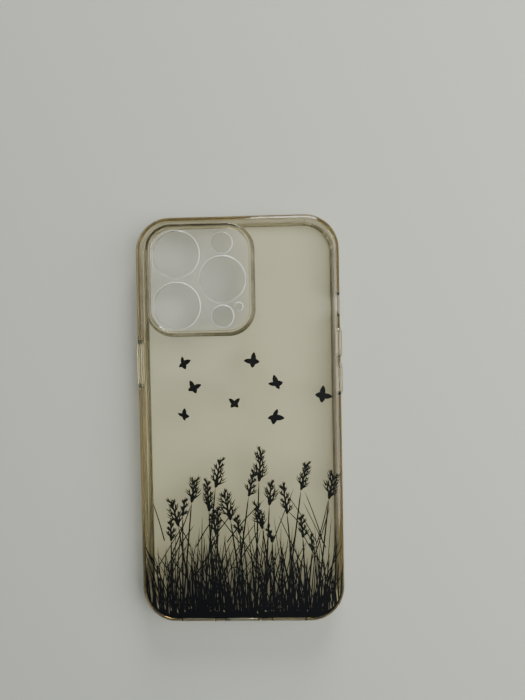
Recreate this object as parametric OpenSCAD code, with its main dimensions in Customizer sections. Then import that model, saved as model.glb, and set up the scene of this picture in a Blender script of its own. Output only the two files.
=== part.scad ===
// Clear soft case for a phone of 71.5 x 146.7 x 7.65 mm.
// The case lies on its front lip with the back up: +Z is the outward normal of the back,
// +Y points to the camera end, and the origin is under the middle of the plan, on z = 0.

/* [Shell] */
// Outer width across the long walls
shell_w = 75.2; // [75:0.1:77]
// Outer length over the end walls
shell_l = 150.6; // [150:0.1:153]
// Height from the front lip to the outer face of the back
shell_h = 10; // [9.8:0.1:11]
// Outer corner radius in plan
corner_r = 12.8; // [12.4:0.1:13.6]
// Thickness of the side walls
wall_t = 1.65; // [1.5:0.05:1.8]
// Thickness of the back panel
back_t = 1.2; // [1:0.05:1.4]
// Radius of the rounded edge round the back
back_edge_r = 2.5; // [2.2:0.1:2.7]
// Radius of the outer edge at the front
front_edge_r = 0.8; // [0.5:0.1:1]
// How far the front lip reaches over the screen
lip_over = 1.1; // [0.8:0.1:1.4]
// Thickness of the front lip
lip_t = 1; // [0.8:0.1:1.2]
// Fillet between the walls and the back, inside
inner_fillet_r = 0.5; // [0.3:0.1:0.7]

/* [Camera housing] */
// Outer width of the raised guard
guard_w = 39.4; // [39.2:0.1:40.4]
// Outer length of the raised guard
guard_l = 40.4; // [40.2:0.1:41.4]
// Outer corner radius of the guard
guard_r = 9.5; // [9.2:0.1:9.9]
// Wall thickness of the guard
guard_wall_t = 1.8; // [1.6:0.1:1.9]
// Height of the guard's rim above the back
guard_rise = 3.1; // [2.9:0.1:3.5]
// Distance of the guard from the left wall's outer face
guard_from_side = 4.5; // [3.5:0.05:5]
// Distance of the guard from the top wall's outer face
guard_from_top = 3.4; // [3:0.05:4]
// Height of the lens plate's top above the back
lens_plate_rise = 1.7; // [1.6:0.1:2]
// Thickness of the lens plate
lens_plate_t = 1; // [0.8:0.1:1.2]
// Diameter of the two lens holes nearest the long wall
lens_d = 16.8; // [16:0.1:17]
// Diameter of the lens hole on the inner side
inner_lens_d = 16.5; // [15.6:0.1:16.8]
// Diameter of the flash hole
flash_d = 7.3; // [6.8:0.1:7.5]
// Diameter of the depth sensor hole
sensor_d = 7.6; // [7:0.1:7.8]
// Diameter of the microphone hole
mic_d = 2.5; // [2:0.1:2.8]

/* [Key covers] */
// Length of the power key's cover
power_len = 17.4; // [16:0.1:19]
// Length of the volume up key's cover
vol_up_len = 10.6; // [10:0.1:10.8]
// Length of the volume down key's cover
vol_down_len = 11.2; // [10:0.1:11.6]
// Width of the covers, measured up the wall
cover_w = 3.6; // [3.2:0.1:3.8]
// How far the covers stand out of the wall
cover_proud = 0.85; // [0.7:0.05:1]
// Radius of the covers' outer edge
cover_edge_r = 0.75; // [0.4:0.05:0.8]
// Width of the thin web round each cover
web_w = 0.3; // [0.25:0.05:0.35]
// Thickness of the web
web_t = 0.4; // [0.3:0.05:0.5]
// Distance of the power cover's middle from the case's middle
power_y = 21.3; // [18:0.1:22]
// Distance of the volume up cover's middle from the case's middle
vol_up_y = 27.9; // [27.5:0.1:28]
// Distance of the volume down cover's middle from the case's middle
vol_down_y = 14.5; // [13:0.1:14.8]

/* [Cutouts] */
// Length of the mute switch cutout
mute_len = 8.8; // [8:0.1:9.6]
// Height of the mute switch cutout
mute_h = 5; // [4.6:0.1:5]
// Distance of the mute cutout's middle from the case's middle
mute_y = 42.1; // [41:0.1:43]
// Length of the charging port cutout
port_len = 13.6; // [12:0.1:14]
// Height of the charging port cutout
port_h = 5.4; // [4.6:0.1:5.4]
// Length of each speaker slot
slot_len = 13; // [11:0.1:13.5]
// Height of each speaker slot
slot_h = 2.6; // [2:0.1:3]
// Distance of the speaker slots' middles from the case's middle
slot_x = 17; // [16:0.1:17.4]

/* [Print] */
// Thickness of the printed ink
ink_t = 0.06; // [0.05:0.01:0.1]
// Height of the solid ground at the foot of the printed meadow
ground_h = 8; // [6:0.5:12]
// Width of a printed stem where it leaves the ground
stem_w = 0.7; // [0.5:0.05:1]
// Gap between the ink and the rounded edge at the foot of the case
ink_margin = 0.3; // [0.1:0.1:1]

/* [Hidden] */
$fn = 96;

// Height of the back panel's inner face, which the phone lies against
seat_z = shell_h - back_t;
// Height of the joint between the back panel and the frame, below the panel's inner fillet
joint_z = seat_z - inner_fillet_r;
// Distance from a corner's axis to the inner face of the wall
inner_r = corner_r - wall_t;
// Middle of the walls' inner height, where the keys and ports sit
key_z = (lip_t + seat_z) / 2;
// Outer face of the long walls and of the end walls
side_x = shell_w / 2;
end_y = shell_l / 2;
// Middle of the camera guard
guard_x = -side_x + guard_from_side + guard_w / 2;
guard_y = end_y - guard_from_top - guard_l / 2;
// The guard's inside, which is also the opening in the back panel
pocket_w = guard_w - 2 * guard_wall_t;
pocket_l = guard_l - 2 * guard_wall_t;
pocket_r = guard_r - guard_wall_t;
// Rounding of the guard's rim
rim_outer_r = 0.8;
rim_inner_r = 0.5;
// A key cover starts this far outside the wall's inner face
cover_recess = 0.1;
cover_base_x = side_x - wall_t + cover_recess;
cover_depth = side_x + cover_proud - cover_base_x;
// Overshoot of every cutting shape
cut = 1;
// Edge of the flat part of the back
flat_x = side_x - back_edge_r;
flat_y = end_y - back_edge_r;
// Blades in the fringe of the printed meadow, and the cut of its lower corners
MEADOW_BLADES = 34;
ground_cut = 5;

// Holes of the lens plate: across, along, diameter, from the guard's middle
LENS_HOLES = [
    [-8.6, 9.4, lens_d],
    [-8.6, -9.4, lens_d],
    [8.2, 0, inner_lens_d],
    [8.2, 13.2, flash_d],
    [8.1, -13.4, sensor_d],
    [14, -10, mic_d]
];

// Seed stems, spread evenly across the print, and butterflies, on a spiral above them
STEM_COUNT = 15;
// Steps that make each stem and butterfly unlike the one before it
GOLDEN_SHARE = 0.618;
GOLDEN_TURN = 137.5;

// ---------- shared shapes ----------

// Carries a profile round a rounded rectangle. The profile's x is the distance from the
// corner's own axis and its y is the height; with core, the middle is filled between levels.
module carry_round(w, l, r) {
    dx = w / 2 - r;
    dy = l / 2 - r;
    for (turn = [0:3]) {
        along = turn % 2 == 0 ? dy : dx;
        out = turn % 2 == 0 ? dx : dy;
        rotate([0, 0, 90 * turn]) {
            translate([out, along, 0])
                rotate_extrude(angle = 90) children();
            translate([out, along, 0])
                rotate([90, 0, 0]) linear_extrude(2 * along) children();
        }
    }
}

// Rounded rectangle in plan
module round_plan(w, l, r) {
    square([w - 2 * r, l], center = true);
    square([w, l - 2 * r], center = true);
    for (sx = [-1, 1])
        for (sy = [-1, 1])
            translate([sx * (w / 2 - r), sy * (l / 2 - r)]) circle(r);
}

// Flat stadium, long side along X
module stadium(len, wid) {
    square([len - wid, wid], center = true);
    for (s = [-1, 1])
        translate([s * (len - wid) / 2, 0]) circle(d = wid);
}

// Stadium prism through the right-hand wall, from x0 for a depth of d
module side_stadium(y, len, wid, x0, d) {
    translate([x0, y, key_z])
        rotate([90, 0, 90]) linear_extrude(d) stadium(len, wid);
}

// Stadium prism through the end wall at -Y
module end_stadium(x, len, wid) {
    translate([x, -end_y + wall_t + cut, key_z])
        rotate([90, 0, 0]) linear_extrude(wall_t + 2 * cut) stadium(len, wid);
}

// Half section of a key cover: x from its middle line, y outwards
module cover_section() {
    square([cover_w / 2 - cover_edge_r, cover_depth]);
    square([cover_w / 2, cover_depth - cover_edge_r]);
    translate([cover_w / 2 - cover_edge_r, cover_depth - cover_edge_r])
        intersection() {
            circle(cover_edge_r);
            square(cover_edge_r);
        }
}

// Key cover of the right-hand wall: a stadium with a rounded outer edge
module key_cover(y, len) {
    half = (len - cover_w) / 2;
    translate([cover_base_x, y, key_z]) rotate([90, 0, 90]) {
        for (side = [0, 180])
            rotate([0, 0, side]) {
                translate([half, 0, 0]) rotate([0, 0, -90])
                    rotate_extrude(angle = 180) cover_section();
                rotate([0, 0, 90]) translate([0, half, 0])
                    rotate([90, 0, 0]) linear_extrude(2 * half) cover_section();
            }
    }
}

// Thin web between a key cover and its window in the right-hand wall
module key_web(y, len) {
    difference() {
        side_stadium(y, len + 2 * web_w, cover_w + 2 * web_w, cover_base_x, web_t);
        side_stadium(y, len, cover_w, cover_base_x - cut, web_t + 2 * cut);
    }
}

// Window that a key cover stands in
module key_window(y, len) {
    side_stadium(y, len + 2 * web_w, cover_w + 2 * web_w, side_x - wall_t - cut, wall_t + 2 * cut);
}

// ---------- shell ----------

module back_section() {
    flat_r = corner_r - back_edge_r;
    translate([0, seat_z]) square([flat_r, back_t]);
    // the rounded edge, with the fillet towards the wall under it
    difference() {
        intersection() {
            translate([flat_r, joint_z]) square([back_edge_r, shell_h - joint_z]);
            translate([flat_r, shell_h - back_edge_r]) circle(back_edge_r);
        }
        translate([0, joint_z - cut]) square([inner_r - inner_fillet_r, seat_z - joint_z + cut]);
        translate([inner_r - inner_fillet_r, joint_z]) circle(inner_fillet_r);
    }
}

module back_panel() {
    color([0.85, 0.84, 0.74, 0.45])
        difference() {
            union() {
                carry_round(shell_w, shell_l, corner_r) back_section();
                translate([0, 0, seat_z + back_t / 2])
                    cube([shell_w - 2 * corner_r, shell_l - 2 * corner_r, back_t], center = true);
            }
            translate([guard_x, guard_y, seat_z - cut])
                linear_extrude(back_t + 2 * cut) round_plan(pocket_w, pocket_l, pocket_r);
        }
}

module wall_section() {
    lip_edge = inner_r - lip_over;
    // the wall, with its two outer edges rounded
    intersection() {
        translate([inner_r, 0]) square([wall_t, joint_z]);
        union() {
            square([corner_r - front_edge_r, joint_z]);
            translate([0, front_edge_r]) square([corner_r, shell_h - back_edge_r - front_edge_r]);
            translate([corner_r - front_edge_r, front_edge_r]) circle(front_edge_r);
            translate([corner_r - back_edge_r, shell_h - back_edge_r]) circle(back_edge_r);
        }
    }
    // the lip, full round on its free edge
    translate([lip_edge + lip_t / 2, 0]) square([lip_over - lip_t / 2, lip_t]);
    translate([lip_edge + lip_t / 2, lip_t / 2]) circle(lip_t / 2);
}

module bumper_frame() {
    color([0.72, 0.62, 0.42, 0.6])
        difference() {
            carry_round(shell_w, shell_l, corner_r) wall_section();
            mirror([1, 0, 0]) key_window(power_y, power_len);
            key_window(vol_up_y, vol_up_len);
            key_window(vol_down_y, vol_down_len);
            side_stadium(mute_y, mute_len, mute_h, side_x - wall_t - cut, wall_t + 2 * cut);
            end_stadium(0, port_len, port_h);
            for (s = [-1, 1])
                end_stadium(s * slot_x, slot_len, slot_h);
        }
}

// ---------- camera housing ----------

module guard_section() {
    inner = pocket_r;
    intersection() {
        translate([inner, 0]) square([guard_wall_t, guard_rise]);
        union() {
            square([guard_r, guard_rise - rim_outer_r]);
            square([guard_r - rim_outer_r, guard_rise - rim_inner_r]);
            translate([inner + rim_inner_r, 0])
                square([guard_wall_t - rim_inner_r - rim_outer_r, guard_rise]);
            translate([guard_r - rim_outer_r, guard_rise - rim_outer_r]) circle(rim_outer_r);
            translate([inner + rim_inner_r, guard_rise - rim_inner_r]) circle(rim_inner_r);
        }
    }
}

module camera_guard() {
    color([0.62, 0.58, 0.44, 0.7])
        translate([guard_x, guard_y, shell_h])
            carry_round(guard_w, guard_l, guard_r) guard_section();
}

module lens_plate() {
    color([0.8, 0.79, 0.68, 0.45])
        translate([guard_x, guard_y, shell_h + lens_plate_rise - lens_plate_t])
            difference() {
                linear_extrude(lens_plate_t) round_plan(pocket_w, pocket_l, pocket_r);
                for (hole = LENS_HOLES)
                    translate([hole[0], hole[1], -cut])
                        cylinder(h = lens_plate_t + 2 * cut, d = hole[2]);
            }
}

// ---------- key covers and their webs ----------

module power_key_cover() {
    color([0.68, 0.56, 0.36, 0.7]) mirror([1, 0, 0]) key_cover(power_y, power_len);
}

module volume_up_cover() {
    color([0.68, 0.56, 0.36, 0.7]) key_cover(vol_up_y, vol_up_len);
}

module volume_down_cover() {
    color([0.68, 0.56, 0.36, 0.7]) key_cover(vol_down_y, vol_down_len);
}

module power_key_web() {
    color([0.8, 0.72, 0.52, 0.5]) mirror([1, 0, 0]) key_web(power_y, power_len);
}

module volume_up_web() {
    color([0.8, 0.72, 0.52, 0.5]) key_web(vol_up_y, vol_up_len);
}

module volume_down_web() {
    color([0.8, 0.72, 0.52, 0.5]) key_web(vol_down_y, vol_down_len);
}

// ---------- print ----------

// Outline of a seed head of width w from its foot to its tip, widest below its middle
function head_outline(foot, tip, w, steps = 8) =
    let (
        run = tip - foot,
        side = [-run[1], run[0]] / norm(run),
        swell = [for (i = [0:steps]) w / 2 * sin(180 * pow(i / steps, 0.8))]
    )
    concat(
        [for (i = [0:steps]) foot + run * i / steps + side * swell[i]],
        [for (i = [steps - 1:-1:1]) foot + run * i / steps - side * swell[i]]
    );

// Outline of a stem that narrows from the ground to the foot of its head
function stem_outline(root, foot) = [
    [root[0] - stem_w / 2, root[1]],
    [root[0] + stem_w / 2, root[1]],
    [foot[0] + stem_w / 4, foot[1]],
    [foot[0] - stem_w / 4, foot[1]]
];

// One layer of ink on the back
module ink(outline) {
    translate([0, 0, shell_h]) linear_extrude(ink_t) polygon(outline);
}

module meadow_print() {
    half_w = flat_x - ink_margin;
    bottom = -flat_y + ink_margin;
    ground = bottom + ground_h;
    pitch = half_w / MEADOW_BLADES;
    side_gap = 6.5;
    color([0.05, 0.06, 0.08]) {
        // ground with cut lower corners and a fringe of blades, each with its own height
        ink(concat(
            [[-half_w, bottom + ground_cut], [-half_w + ground_cut, bottom],
             [half_w - ground_cut, bottom], [half_w, bottom + ground_cut]],
            [for (i = [2 * MEADOW_BLADES:-1:0])
                [-half_w + pitch * i, ground + (i % 2 == 0 ? 0 : blade_height(i))]]
        ));
        for (i = [0:STEM_COUNT - 1]) {
            spread = 2 * (half_w - side_gap) / STEM_COUNT;
            root = [spread * (i + 0.5 - STEM_COUNT / 2), ground - 1];
            lean = stem_lean(i);
            foot = [root[0] + stem_rise(i) * tan(lean), bottom + stem_rise(i)];
            head = 8 + 4 * share(i, 2 * GOLDEN_SHARE);
            tip = foot + head * [sin(1.8 * lean), cos(1.8 * lean)];
            ink(stem_outline(root, foot));
            ink(head_outline(foot - [0, 1], tip, 3 + 2 * share(i, 3 * GOLDEN_SHARE)));
        }
    }
}

// Part of a whole that the i-th step of this size leaves over, from 0 to 1
function share(i, step) = i * step - floor(i * step);

// Height of a stem above the foot of the print, and its lean in degrees
function stem_rise(i) = 29 + 23 * share(i, GOLDEN_SHARE);
function stem_lean(i) = 8 * sin(GOLDEN_TURN * i);

// Height of one blade of the fringe, from 7 to 18
function blade_height(i) = 7 + 6 * abs(sin(i * 77)) + 5 * abs(cos(i * 31));

// Right half of a butterfly of span 1, from its head down to its tail
HALF_BUTTERFLY = [
    [0.03, 0.2], [0.03, 0.04], [0.16, 0.1], [0.34, 0.27], [0.48, 0.3], [0.5, 0.2], [0.4, 0.02],
    [0.3, -0.08], [0.36, -0.18], [0.28, -0.3], [0.14, -0.28], [0.03, -0.16], [0.02, -0.26]
];

// One butterfly: its place on a flattened spiral, its span and its turn follow from its number
module butterfly_print(i) {
    spiral_x = 11.6;
    spiral_y = 5.6;
    middle = [1, 10];
    first_way = 250;
    away = sqrt(i + 0.5);
    way = first_way + GOLDEN_TURN * i;
    span = 4.4 + 2 * share(i, GOLDEN_SHARE);
    last = len(HALF_BUTTERFLY) - 1;
    right = [for (p = HALF_BUTTERFLY) p * span];
    left = [for (k = [last:-1:0]) [-right[k][0], right[k][1]]];
    color([0.05, 0.06, 0.08])
        translate([middle[0] + spiral_x * away * cos(way), middle[1] + spiral_y * away * sin(way), 0])
            rotate([0, 0, 60 * sin(100 * i)]) ink(concat(right, left));
}

back_panel();
bumper_frame();
camera_guard();
lens_plate();
power_key_cover();
volume_up_cover();
volume_down_cover();
power_key_web();
volume_up_web();
volume_down_web();
meadow_print();
butterfly_print(0);  // butterfly_print_1
butterfly_print(1);  // butterfly_print_2
butterfly_print(2);  // butterfly_print_3
butterfly_print(3);  // butterfly_print_4
butterfly_print(4);  // butterfly_print_5
butterfly_print(5);  // butterfly_print_6
butterfly_print(6);  // butterfly_print_7
butterfly_print(7);  // butterfly_print_8
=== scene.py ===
"""Looks of a clear, lightly yellowed phone case with a printed meadow on its back.

Every length in the classes below is in millimetres, in the row frame: the case lies on its front
lip on z = 0, its back faces +Z and its camera end points to +Y. Meshes are turned to metres when
they are made. Shapes are grids of points worked out with numpy.
"""

import logging
import math
from dataclasses import dataclass, field
from enum import Enum
from typing import Protocol

import bmesh
import bpy
import numpy as np
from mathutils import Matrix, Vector


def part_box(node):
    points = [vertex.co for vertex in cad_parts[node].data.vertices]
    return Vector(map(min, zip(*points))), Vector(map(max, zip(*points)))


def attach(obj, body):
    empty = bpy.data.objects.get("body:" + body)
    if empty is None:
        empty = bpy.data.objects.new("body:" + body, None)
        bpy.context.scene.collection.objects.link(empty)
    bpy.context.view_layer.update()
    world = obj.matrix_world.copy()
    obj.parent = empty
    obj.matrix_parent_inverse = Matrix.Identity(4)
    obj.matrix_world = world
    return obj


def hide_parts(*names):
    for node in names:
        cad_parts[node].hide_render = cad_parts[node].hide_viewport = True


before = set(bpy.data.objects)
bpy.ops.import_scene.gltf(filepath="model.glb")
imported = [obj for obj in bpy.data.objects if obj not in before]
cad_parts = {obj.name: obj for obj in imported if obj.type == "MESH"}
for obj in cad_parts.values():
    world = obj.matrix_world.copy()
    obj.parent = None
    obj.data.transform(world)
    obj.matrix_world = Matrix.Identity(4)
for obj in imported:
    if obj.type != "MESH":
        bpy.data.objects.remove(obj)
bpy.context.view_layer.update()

LOG = logging.getLogger("phone_case")
# Mesh layer that marks where the grey painted shade goes on the edges
PAINTED_SHADE = "painted_shade"
PLAIN = "plain"
# Mesh layer that marks the lens beads painted white as a highlight
PAINTED_HIGHLIGHT = "painted_highlight"
MM = 0.001


# ---------------------------------------------------------------- small helpers


def linear(hex_colour: str) -> tuple[float, float, float, float]:
    """Turn an sRGB hex colour such as "#c8c9c4" into linear RGBA."""
    parts = [int(hex_colour[i:i + 2], 16) / 255 for i in (1, 3, 5)]
    rgb = [p / 12.92 if p <= 0.04045 else ((p + 0.055) / 1.055) ** 2.4 for p in parts]
    return (rgb[0], rgb[1], rgb[2], 1.0)


def add_node(tree: bpy.types.NodeTree, kind: str, inputs: dict | None = None, **settings) -> bpy.types.Node:
    """Add one node to a tree.

    Args:
        tree: The node tree.
        kind: The node's type name.
        inputs: Input name or number to a value, or to a socket that is linked to it.
        settings: Attributes of the node itself.

    Returns:
        The new node.
    """
    node = tree.nodes.new(kind)
    for name, value in settings.items():
        setattr(node, name, value)
    for name, value in (inputs or {}).items():
        if isinstance(value, bpy.types.NodeSocket):
            tree.links.new(value, node.inputs[name])
        else:
            node.inputs[name].default_value = value
    return node


def new_material(name: str) -> tuple[bpy.types.Material, bpy.types.NodeTree]:
    """Make a material with an empty node tree, and return both."""
    material = bpy.data.materials.new(name)
    material.use_nodes = True
    material.node_tree.nodes.clear()
    return material, material.node_tree


def box_mm(node: str) -> tuple[np.ndarray, np.ndarray]:
    """Lowest and highest corner of a CAD node, in millimetres."""
    low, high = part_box(node)
    return np.array(low) / MM, np.array(high) / MM


def arc(centre: tuple[float, float], radius: float, start: float, end: float, steps: int) -> np.ndarray:
    """Points on an arc, as centre + radius * (cos a, sin a) for a from start to end.

    Args:
        centre: Middle of the arc.
        radius: Its radius.
        start: First angle in degrees.
        end: Last angle in degrees.
        steps: Number of chords.

    Returns:
        An array of steps + 1 points.
    """
    angle = np.radians(np.linspace(start, end, steps + 1))
    return np.stack([centre[0] + radius * np.cos(angle), centre[1] + radius * np.sin(angle)], axis=1)


# ---------------------------------------------------------------- outlines


class Outline(Protocol):
    """A closed outline that can be drawn at any inset with the same number of points."""

    def points(self, inset: float) -> np.ndarray:
        """Points at this distance inside the outline, counter-clockwise."""
        ...


@dataclass(frozen=True)
class RoundRect:
    """Rounded rectangle: its half sides, corner radius and middle."""

    half_w: float
    half_l: float
    radius: float
    centre: tuple[float, float] = (0.0, 0.0)
    corner_steps: int = 28

    def points(self, inset: float) -> np.ndarray:
        """Each corner is a quarter circle about its own axis, so an inset only shortens its radius."""
        turns = np.linspace(0, 90, self.corner_steps + 1)
        angle = np.radians(np.concatenate([turns + 90 * k for k in range(4)]))
        side = self.corner_steps + 1
        sign_x = np.repeat([1, -1, -1, 1], side)
        sign_y = np.repeat([1, 1, -1, -1], side)
        radius = self.radius - inset
        x = self.centre[0] + sign_x * (self.half_w - self.radius) + radius * np.cos(angle)
        y = self.centre[1] + sign_y * (self.half_l - self.radius) + radius * np.sin(angle)
        return np.stack([x, y], axis=1)

    def depth(self, xy: np.ndarray) -> tuple[np.ndarray, np.ndarray]:
        """How far points lie inside the outline, and the direction of the nearest edge.

        The distance to a rounded rectangle is that to its core rectangle less the radius: towards
        a corner it is measured from the corner's axis, and elsewhere straight to the nearest side.

        Args:
            xy: Points, with x and y on the last axis.

        Returns:
            The depths, and unit vectors towards the nearest edge.
        """
        flat = xy - np.array(self.centre)
        sign = np.where(flat >= 0, 1.0, -1.0)
        core = np.array([self.half_w - self.radius, self.half_l - self.radius])
        over = np.abs(flat) - core
        out = np.maximum(over, 0)
        reach = np.hypot(out[..., 0], out[..., 1])
        inner = np.minimum(np.max(over, axis=-1), 0)
        depth = self.radius - reach - inner
        wide = over[..., 0] >= over[..., 1]
        axis_dir = np.stack([np.where(wide, 1.0, 0.0), np.where(wide, 0.0, 1.0)], axis=-1)
        corner = (over[..., 0] > 0) & (over[..., 1] > 0)
        corner_dir = out / np.maximum(reach, 1e-9)[..., None]
        return depth, np.where(corner[..., None], corner_dir, axis_dir) * sign


@dataclass(frozen=True)
class Stadium:
    """Slot with half-round ends, long side along the first axis."""

    length: float
    width: float
    steps: int = 24

    def points(self, inset: float) -> np.ndarray:
        """Two half circles whose radius is half the width less the inset."""
        half = (self.length - self.width) / 2
        radius = self.width / 2 - inset
        right = arc((half, 0), radius, -90, 90, self.steps)
        left = arc((-half, 0), radius, 90, 270, self.steps)
        return np.concatenate([right, left])


@dataclass(frozen=True)
class Circle:
    """Round hole."""

    centre: tuple[float, float]
    radius: float
    steps: int = 72

    def points(self, inset: float) -> np.ndarray:
        """A circle whose radius is less by the inset."""
        return arc(self.centre, self.radius - inset, 0, 360 * (1 - 1 / self.steps), self.steps - 1)


@dataclass(frozen=True)
class EdgeRun:
    """One edge of a plate: its outline, and its section as rows of (depth into the material, height)."""

    outline: Outline
    section: np.ndarray
    is_hole: bool = False

    def rings(self) -> np.ndarray:
        """One ring of points for each row of the section."""
        rings = []
        for depth, height in self.section:
            ring = self.outline.points(-depth if self.is_hole else depth)
            rings.append(np.column_stack([ring, np.full(len(ring), height)]))
        return np.array(rings)


# ---------------------------------------------------------------- mesh making


def new_piece(name: str, points: np.ndarray, faces: list, body: str, nodes: list[str],
              finish: bpy.types.Material) -> bpy.types.Object:
    """Make a mesh object that rides on a body and stands for some CAD nodes.

    Args:
        name: The piece's name.
        points: Vertices in millimetres, one row each.
        faces: Faces as lists of vertex numbers.
        body: The CAD body it moves with.
        nodes: The CAD nodes it stands for.
        finish: Its material.

    Returns:
        The object, with its normals turned outwards.
    """
    mesh = bpy.data.meshes.new(name)
    mesh.from_pydata((np.asarray(points) * MM).tolist(), [], [list(map(int, f)) for f in faces])
    return dress_mesh(name, mesh, body, nodes, finish)


def face_outwards(mesh: bpy.types.Mesh) -> None:
    """Turn every face of a closed mesh outwards."""
    work = bmesh.new()
    work.from_mesh(mesh)
    bmesh.ops.recalc_face_normals(work, faces=work.faces)
    work.to_mesh(mesh)
    work.free()


def dress_mesh(name: str, mesh: bpy.types.Mesh, body: str, nodes: list[str],
               finish: bpy.types.Material) -> bpy.types.Object:
    """Link a mesh in metres as a piece: normals outwards, smooth shading, finish, riding on its body."""
    face_outwards(mesh)
    mesh.shade_smooth()
    mesh.materials.clear()
    mesh.materials.append(finish)
    piece = bpy.data.objects.new(name, mesh)
    bpy.context.scene.collection.objects.link(piece)
    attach(piece, body)
    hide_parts(*nodes)
    LOG.info("%s: %d points, %d faces", name, len(mesh.vertices), len(mesh.polygons))
    return piece


def dress_moulding(mesh: bpy.types.Mesh, name: str, body: str, nodes: list[str],
                   finish: bpy.types.Material, sharp_angle: float = 40.0) -> bpy.types.Object:
    """Turn a mesh in millimetres into a finished piece whose flats are shaded flat."""
    set_points(mesh, points_mm(mesh) * np.float32(MM))
    piece = dress_mesh(name, mesh, body, nodes, finish)
    keep_flats_flat(piece, sharp_angle)
    return piece


def grid_faces(rows: int, columns: int, closed_rows: bool, closed_columns: bool) -> np.ndarray:
    """Quads of a grid whose point (row, column) has the number row * columns + column."""
    row = np.arange(rows if closed_rows else rows - 1)
    column = np.arange(columns if closed_columns else columns - 1)
    r, c = np.meshgrid(row, column, indexing="ij")
    r2, c2 = (r + 1) % rows, (c + 1) % columns
    quads = np.stack([r * columns + c, r * columns + c2, r2 * columns + c2, r2 * columns + c], axis=-1)
    return quads.reshape(-1, 4)


def plate_mesh(name: str, runs: list[EdgeRun]) -> bpy.types.Mesh:
    """Closed plate: a wall of rings along every edge, and a flat cap between the first and last rings.

    Args:
        name: The mesh's name.
        runs: The outer edge and the holes, all with the same first height and the same last height.

    Returns:
        The mesh, in millimetres.
    """
    work = bmesh.new()
    first_edges, last_edges = [], []
    for run in runs:
        rings = run.rings()
        rows, count = rings.shape[:2]
        verts = [work.verts.new(p) for p in rings.reshape(-1, 3)]
        for quad in grid_faces(rows, count, False, True):
            work.faces.new([verts[i] for i in quad])
        for edges, start in ((first_edges, 0), (last_edges, (rows - 1) * count)):
            ring = verts[start:start + count]
            edges.extend(work.edges.get((ring[i], ring[(i + 1) % count])) for i in range(count))
    for edges in (first_edges, last_edges):
        bmesh.ops.triangle_fill(work, use_beauty=True, use_dissolve=False, edges=edges)
    bmesh.ops.recalc_face_normals(work, faces=work.faces)
    mesh = bpy.data.meshes.new(name)
    work.to_mesh(mesh)
    work.free()
    return mesh


def points_mm(mesh: bpy.types.Mesh) -> np.ndarray:
    """The points of a mesh that is still in millimetres, one row each."""
    points = np.empty(len(mesh.vertices) * 3, np.float32)
    mesh.vertices.foreach_get("co", points)
    return points.reshape(-1, 3)


def set_points(mesh: bpy.types.Mesh, points: np.ndarray) -> None:
    """Move a mesh's points to these places, one row each."""
    mesh.vertices.foreach_set("co", points.astype(np.float32).ravel())
    mesh.update()


def place_on_wall(mesh: bpy.types.Mesh, base: tuple[float, float, float], outward: float) -> None:
    """Turn a plate so that its own x runs along the wall, its y up it, and its z out of it.

    Args:
        mesh: The plate, in millimetres.
        base: Where its origin goes.
        outward: +1 on the right-hand wall, -1 on the left-hand wall.
    """
    along, up, out = points_mm(mesh).T
    set_points(mesh, np.column_stack([base[0] + outward * out, base[1] + along, base[2] + up]))


def place_on_end(mesh: bpy.types.Mesh, base: tuple[float, float, float]) -> None:
    """Turn a plate so that its own x runs along the -Y end wall, its y up it, and its z out of it."""
    along, up, out = points_mm(mesh).T
    set_points(mesh, np.column_stack([base[0] + along, base[1] - out, base[2] + up]))


def cut_away(mesh: bpy.types.Mesh, cutters: list[bpy.types.Mesh]) -> bpy.types.Mesh:
    """Cut closed meshes out of another, one after the other, and return the result."""
    scene = bpy.context.scene
    body = bpy.data.objects.new("blank", mesh)
    scene.collection.objects.link(body)
    tools = []
    for number, cutter in enumerate(cutters):
        tool = bpy.data.objects.new(f"cutter_{number}", cutter)
        scene.collection.objects.link(tool)
        tools.append(tool)
        modifier = body.modifiers.new(f"cut_{number}", "BOOLEAN")
        modifier.operation = "DIFFERENCE"
        modifier.solver = "EXACT"
        modifier.object = tool
    bpy.context.view_layer.update()
    graph = bpy.context.evaluated_depsgraph_get()
    result = bpy.data.meshes.new_from_object(body.evaluated_get(graph))
    for used in [body, *tools]:
        bpy.data.objects.remove(used)
    return result


def mark_points(mesh: bpy.types.Mesh, layer_name: str, amount: np.ndarray) -> None:
    """Store an amount from 0 to 1 at each point, for the finish to read."""
    layer = mesh.attributes.new(layer_name, "FLOAT", "POINT")
    layer.data.foreach_set("value", amount.astype(np.float32))


def keep_flats_flat(piece: bpy.types.Object, sharp_angle: float) -> None:
    """Mark hard edges, and let large faces set the shading of small ones beside them."""
    piece.data.set_sharp_from_angle(angle=math.radians(sharp_angle))
    weighted = piece.modifiers.new("weighted_normals", "WEIGHTED_NORMAL")
    weighted.keep_sharp = True
    weighted.mode = "FACE_AREA"


# ---------------------------------------------------------------- finishes


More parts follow.
